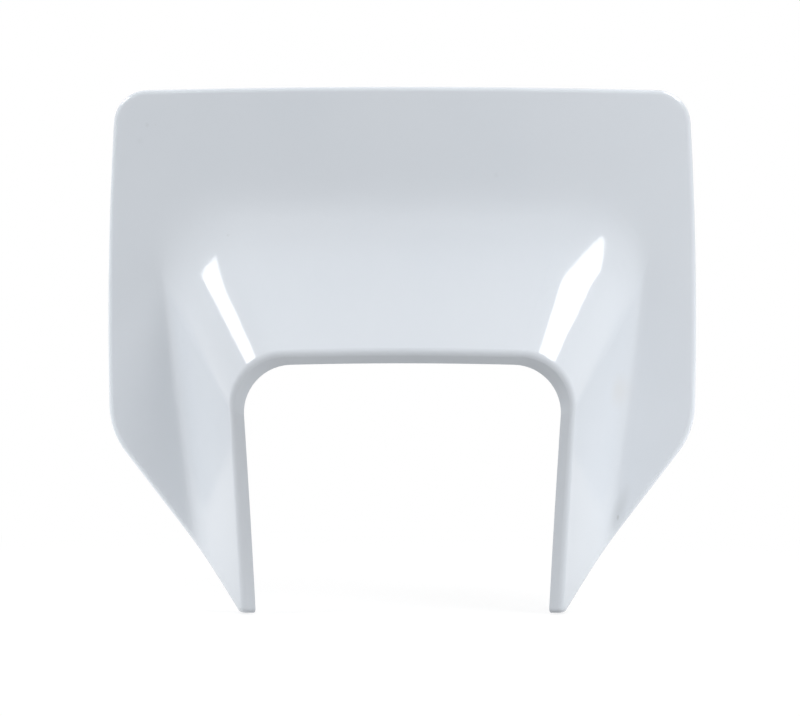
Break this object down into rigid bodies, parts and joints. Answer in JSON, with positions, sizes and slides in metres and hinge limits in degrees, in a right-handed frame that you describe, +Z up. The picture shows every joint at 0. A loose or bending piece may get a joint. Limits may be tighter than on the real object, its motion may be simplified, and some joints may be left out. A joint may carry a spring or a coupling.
{
  "type": "headlight number plate",
  "caption": "Flat front number plate that bends forward into a hood round a U-shaped headlight opening, moulded in gloss white plastic with rear screw bosses.",
  "frame": {"origin": "centre of the four screw bosses, on the plane of their ends", "axes": "+X to the right seen from the front, +Y to the rear, out of the screw bores, +Z up"},
  "size_m": [0.22, 0.0587, 0.1943],
  "materials": {
    "white_plastic": "smooth gloss injection moulding, cool white, lightly marked by handling"
  },
  "bodies": {
    "root": {"number_plate_shell": "white_plastic"}
  },
  "joints": []
}
